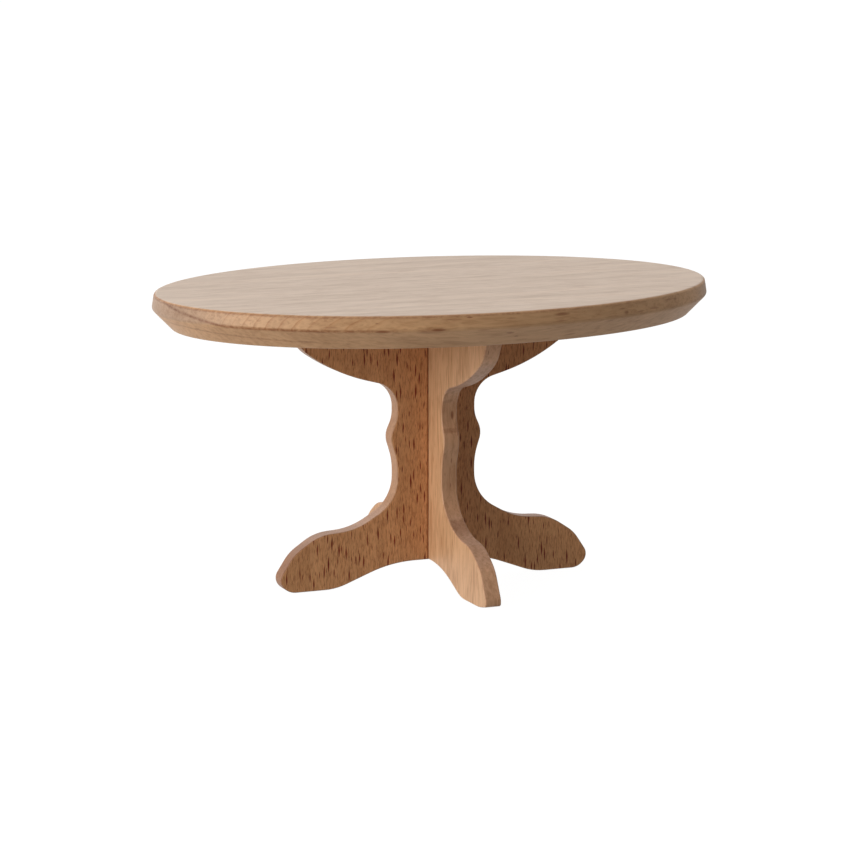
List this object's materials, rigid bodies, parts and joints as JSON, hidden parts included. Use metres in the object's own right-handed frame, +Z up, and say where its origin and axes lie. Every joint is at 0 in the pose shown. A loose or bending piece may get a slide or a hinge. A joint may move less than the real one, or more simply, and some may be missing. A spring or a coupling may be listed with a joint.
{
  "type": "miniature dining table",
  "caption": "Dolls house dining table: oval bevelled top on a pedestal of crossing profiled panels with splayed feet, all in bare beech.",
  "frame": {"origin": "on the ground, under the middle of the oval top", "axes": "+X along the oval's long axis, +Y across it, +Z up"},
  "size_m": [0.1698, 0.1198, 0.089],
  "materials": {
    "tabletop_beech": "fine sanded, bare",
    "long_panel_beech": "fine sanded, bare",
    "cross_panel_beech": "fine sanded, bare",
    "dowel_beech": "turned, bare"
  },
  "bodies": {
    "root": {"tabletop": "tabletop_beech", "long_panel": "long_panel_beech", "cross_panel": "cross_panel_beech", "long_dowel_left": "dowel_beech", "long_dowel_right": "dowel_beech", "cross_dowel_front": "dowel_beech", "cross_dowel_back": "dowel_beech"}
  },
  "joints": []
}
